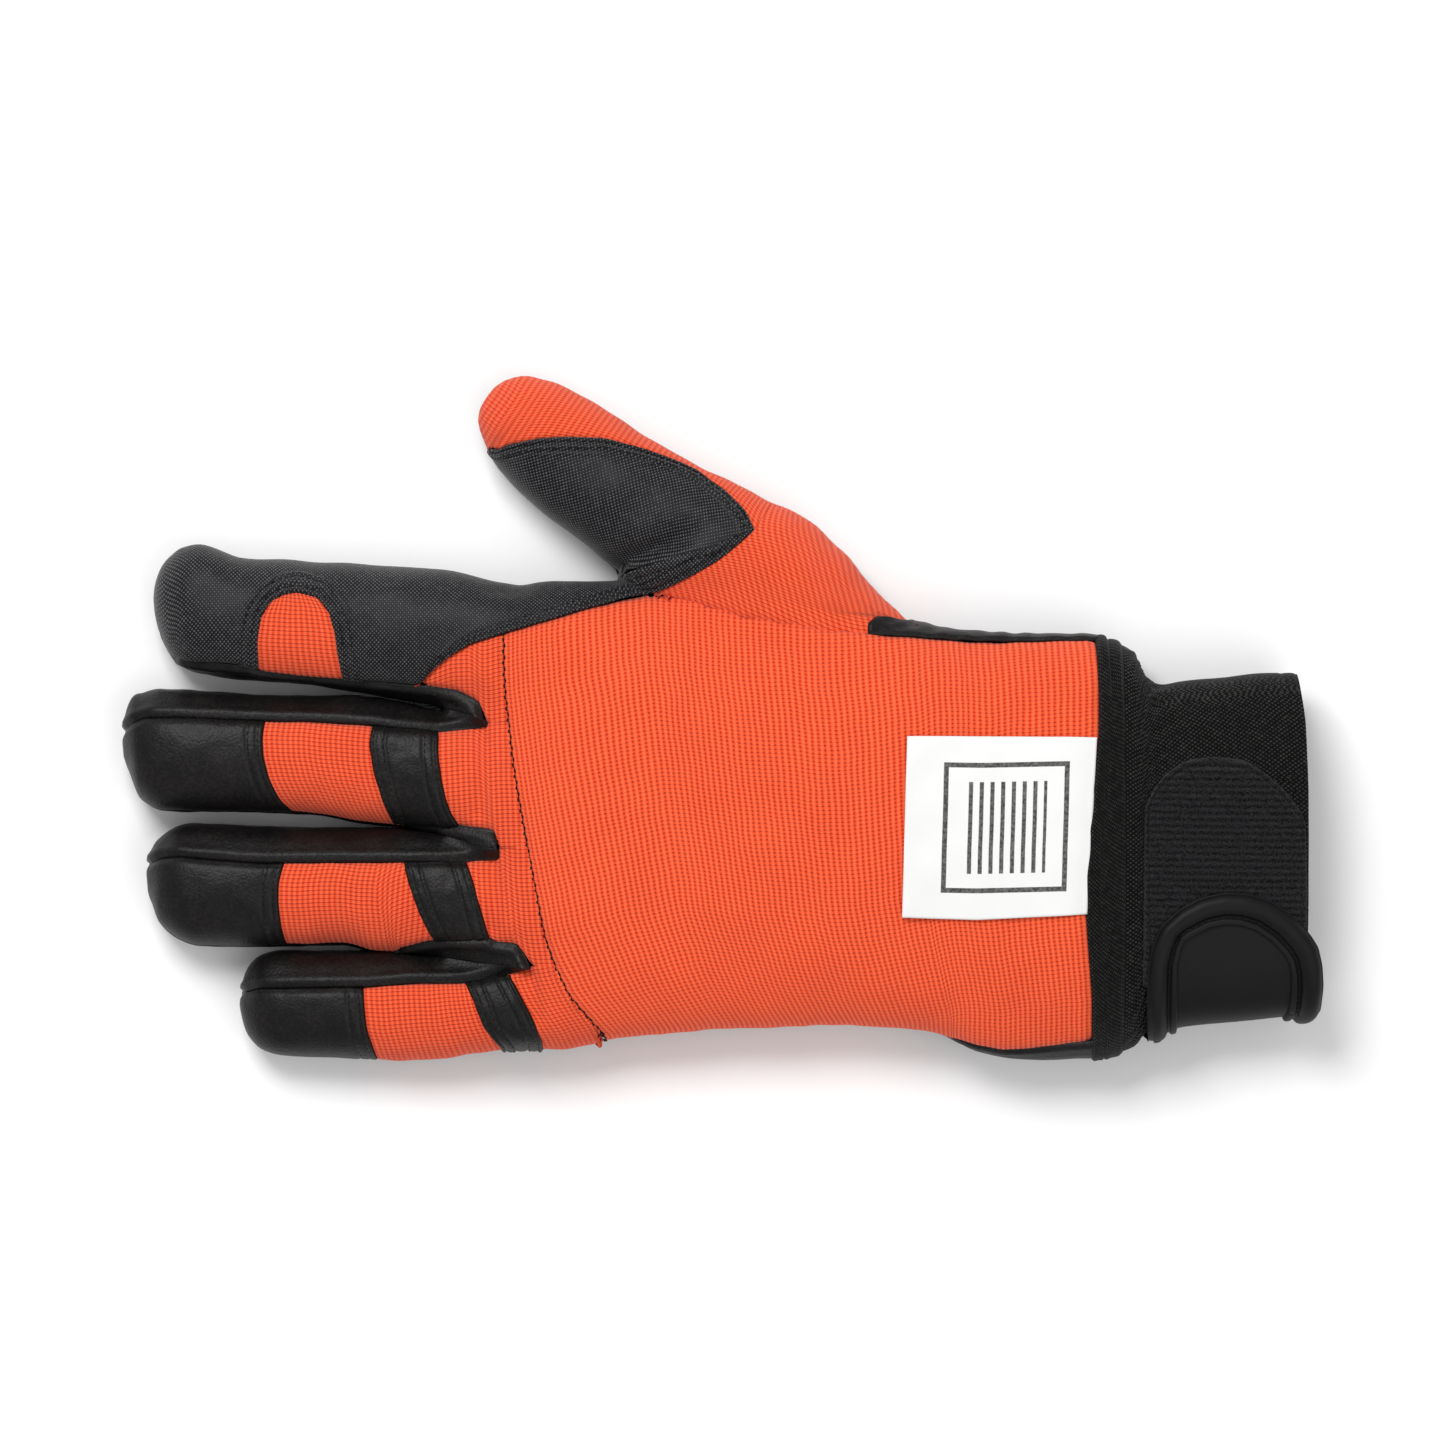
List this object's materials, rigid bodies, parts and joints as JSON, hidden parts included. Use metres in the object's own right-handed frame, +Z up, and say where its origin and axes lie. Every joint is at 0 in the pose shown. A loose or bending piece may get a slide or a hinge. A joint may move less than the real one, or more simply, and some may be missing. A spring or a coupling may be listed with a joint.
{
  "type": "work glove",
  "caption": "Left-hand protective work glove lying palm down: ribbed orange back, black leather palm and caps, elastic wrist cuff closed by a rubber tab.",
  "frame": {"origin": "under the middle of the overall box, on the surface that the glove lies on", "axes": "+X from the fingertips to the cuff, +Y towards the thumb, +Z up out of the back of the hand"},
  "size_m": [0.27, 0.1542, 0.0321],
  "materials": {
    "orange_fabric": "matte ribbed stretch fabric",
    "black_nylon": "matte woven nylon",
    "black_leather": "fine grain, slight sheen",
    "black_tape": "folded stretch tape",
    "black_knit": "coarse elastic knit",
    "black_loop": "fuzzy loop pile",
    "black_rubber": "matte moulded rubber",
    "white_satin": "woven satin"
  },
  "bodies": {
    "root": {"hand_back": "orange_fabric", "finger_back": "orange_fabric", "thumb_back": "orange_fabric", "index_window": "orange_fabric", "index_cover": "black_nylon", "thumb_patch": "black_nylon", "middle_cap": "black_leather", "ring_cap": "black_leather", "little_cap": "black_leather", "middle_band": "black_leather", "ring_band": "black_leather", "little_band": "black_leather", "side_index_middle": "black_leather", "side_middle_ring": "black_leather", "side_ring_little": "black_leather", "palm_panel": "black_leather", "thumb_palm": "black_leather", "cuff_binding": "black_tape", "wrist_cuff": "black_knit", "loop_patch": "black_loop", "closure_tab": "black_rubber", "tab_binding": "black_rubber", "label": "white_satin"}
  },
  "joints": []
}
